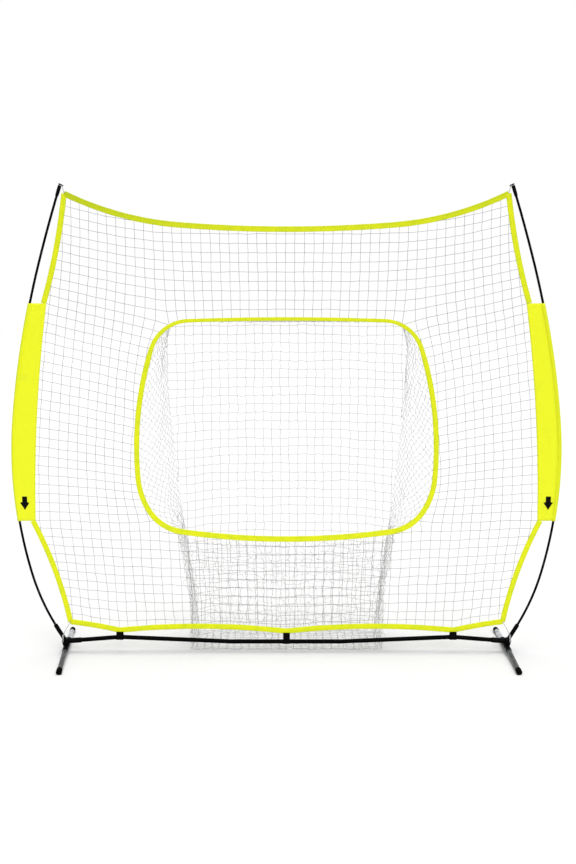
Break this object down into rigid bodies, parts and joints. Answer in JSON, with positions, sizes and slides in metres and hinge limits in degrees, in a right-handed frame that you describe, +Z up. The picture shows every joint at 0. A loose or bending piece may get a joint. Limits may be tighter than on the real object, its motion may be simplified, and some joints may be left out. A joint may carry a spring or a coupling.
{
  "type": "pitching target net",
  "caption": "Wide target net on a folding base bar and two bow poles, with a yellow-edged mouth that opens into a deep catching pocket.",
  "frame": {"origin": "centre of the footprint on the floor, midway between the hubs and in the net's plane", "axes": "+X along the base bar, to the right from the front; +Y back through the mouth; +Z up"},
  "size_m": [2.5102, 0.601, 2.1469],
  "materials": {
    "frame_steel": "satin black powder coat",
    "foot_steel": "plated steel tube",
    "bare_steel": "bright zinc plate",
    "fibreglass": "smooth black fibreglass",
    "black_plastic": "moulded black plastic",
    "rubber": "matte black rubber",
    "netting": "knotless black twine",
    "webbing": "neon yellow webbing",
    "sleeve_cloth": "neon yellow oxford cloth",
    "elastic": "grey elastic cord",
    "strap": "black hook-and-loop strap"
  },
  "bodies": {
    "frame": {"bar_connectors": "bare_steel", "bar_shock_cord": "elastic", "bar_straps": "strap", "bottom_corner_cords": "elastic", "bottom_hem": "webbing", "centre_bar_section": "frame_steel", "corner_hooks": "bare_steel", "elbow_rivets": "bare_steel", "left_bar_arm": "frame_steel", "left_bar_elbow": "bare_steel", "left_bar_section": "frame_steel", "left_button_spring": "bare_steel", "left_hub": "black_plastic", "left_pole_lower": "fibreglass", "left_pole_middle": "fibreglass", "left_pole_upper": "fibreglass", "left_side_hems": "webbing", "left_sleeve": "sleeve_cloth", "left_tip_cap": "black_plastic", "net_bottom_panel": "netting", "net_left_panel": "netting", "net_right_panel": "netting", "net_top_panel": "netting", "pivot_nuts": "bare_steel", "pivot_studs": "bare_steel", "pivot_washers": "bare_steel", "pocket_apron": "netting", "pocket_back": "netting", "pocket_floor": "netting", "pocket_left_side": "netting", "pocket_right_side": "netting", "pocket_roof": "netting", "pole_ferrules": "bare_steel", "pole_shock_cords": "elastic", "right_bar_arm": "frame_steel", "right_bar_elbow": "bare_steel", "right_bar_section": "frame_steel", "right_button_spring": "bare_steel", "right_hub": "black_plastic", "right_pole_lower": "fibreglass", "right_pole_middle": "fibreglass", "right_pole_upper": "fibreglass", "right_side_hems": "webbing", "right_sleeve": "sleeve_cloth", "right_tip_cap": "black_plastic", "strike_zone_band": "webbing", "top_corner_loops": "elastic", "top_hem": "webbing"},
    "left_foot": {"left_foot_tube": "foot_steel", "left_foot_saddle": "black_plastic", "left_front_foot_cap": "rubber", "left_rear_foot_cap": "rubber", "left_pivot_spacer": "black_plastic"},
    "left_button": {"left_snap_button": "bare_steel"},
    "right_foot": {"right_foot_tube": "foot_steel", "right_foot_saddle": "black_plastic", "right_front_foot_cap": "rubber", "right_rear_foot_cap": "rubber", "right_pivot_spacer": "black_plastic"},
    "right_button": {"right_snap_button": "bare_steel"}
  },
  "joints": [
    {"name": "left_foot_swivel", "type": "hinge", "parent": "frame", "child": "left_foot", "pos_m": [-1.031, 0, 0.027], "axis": [0, 0, 1], "range_deg": [-5.3, 84.7]},
    {"name": "right_foot_swivel", "type": "hinge", "parent": "frame", "child": "right_foot", "pos_m": [1.031, 0, 0.027], "axis": [0, 0, -1], "range_deg": [-0.8, 89.2]},
    {"name": "left_button_press", "type": "slide", "parent": "frame", "child": "left_button", "axis": [0, -1, 0], "range_m": [-0.003, 0], "stiffness_N_per_m": 300, "springref_m": 0.002, "deforming": ["left_button_spring"]},
    {"name": "right_button_press", "type": "slide", "parent": "frame", "child": "right_button", "axis": [0, -1, 0], "range_m": [-0.003, 0], "stiffness_N_per_m": 300, "springref_m": 0.002, "deforming": ["right_button_spring"]}
  ]
}
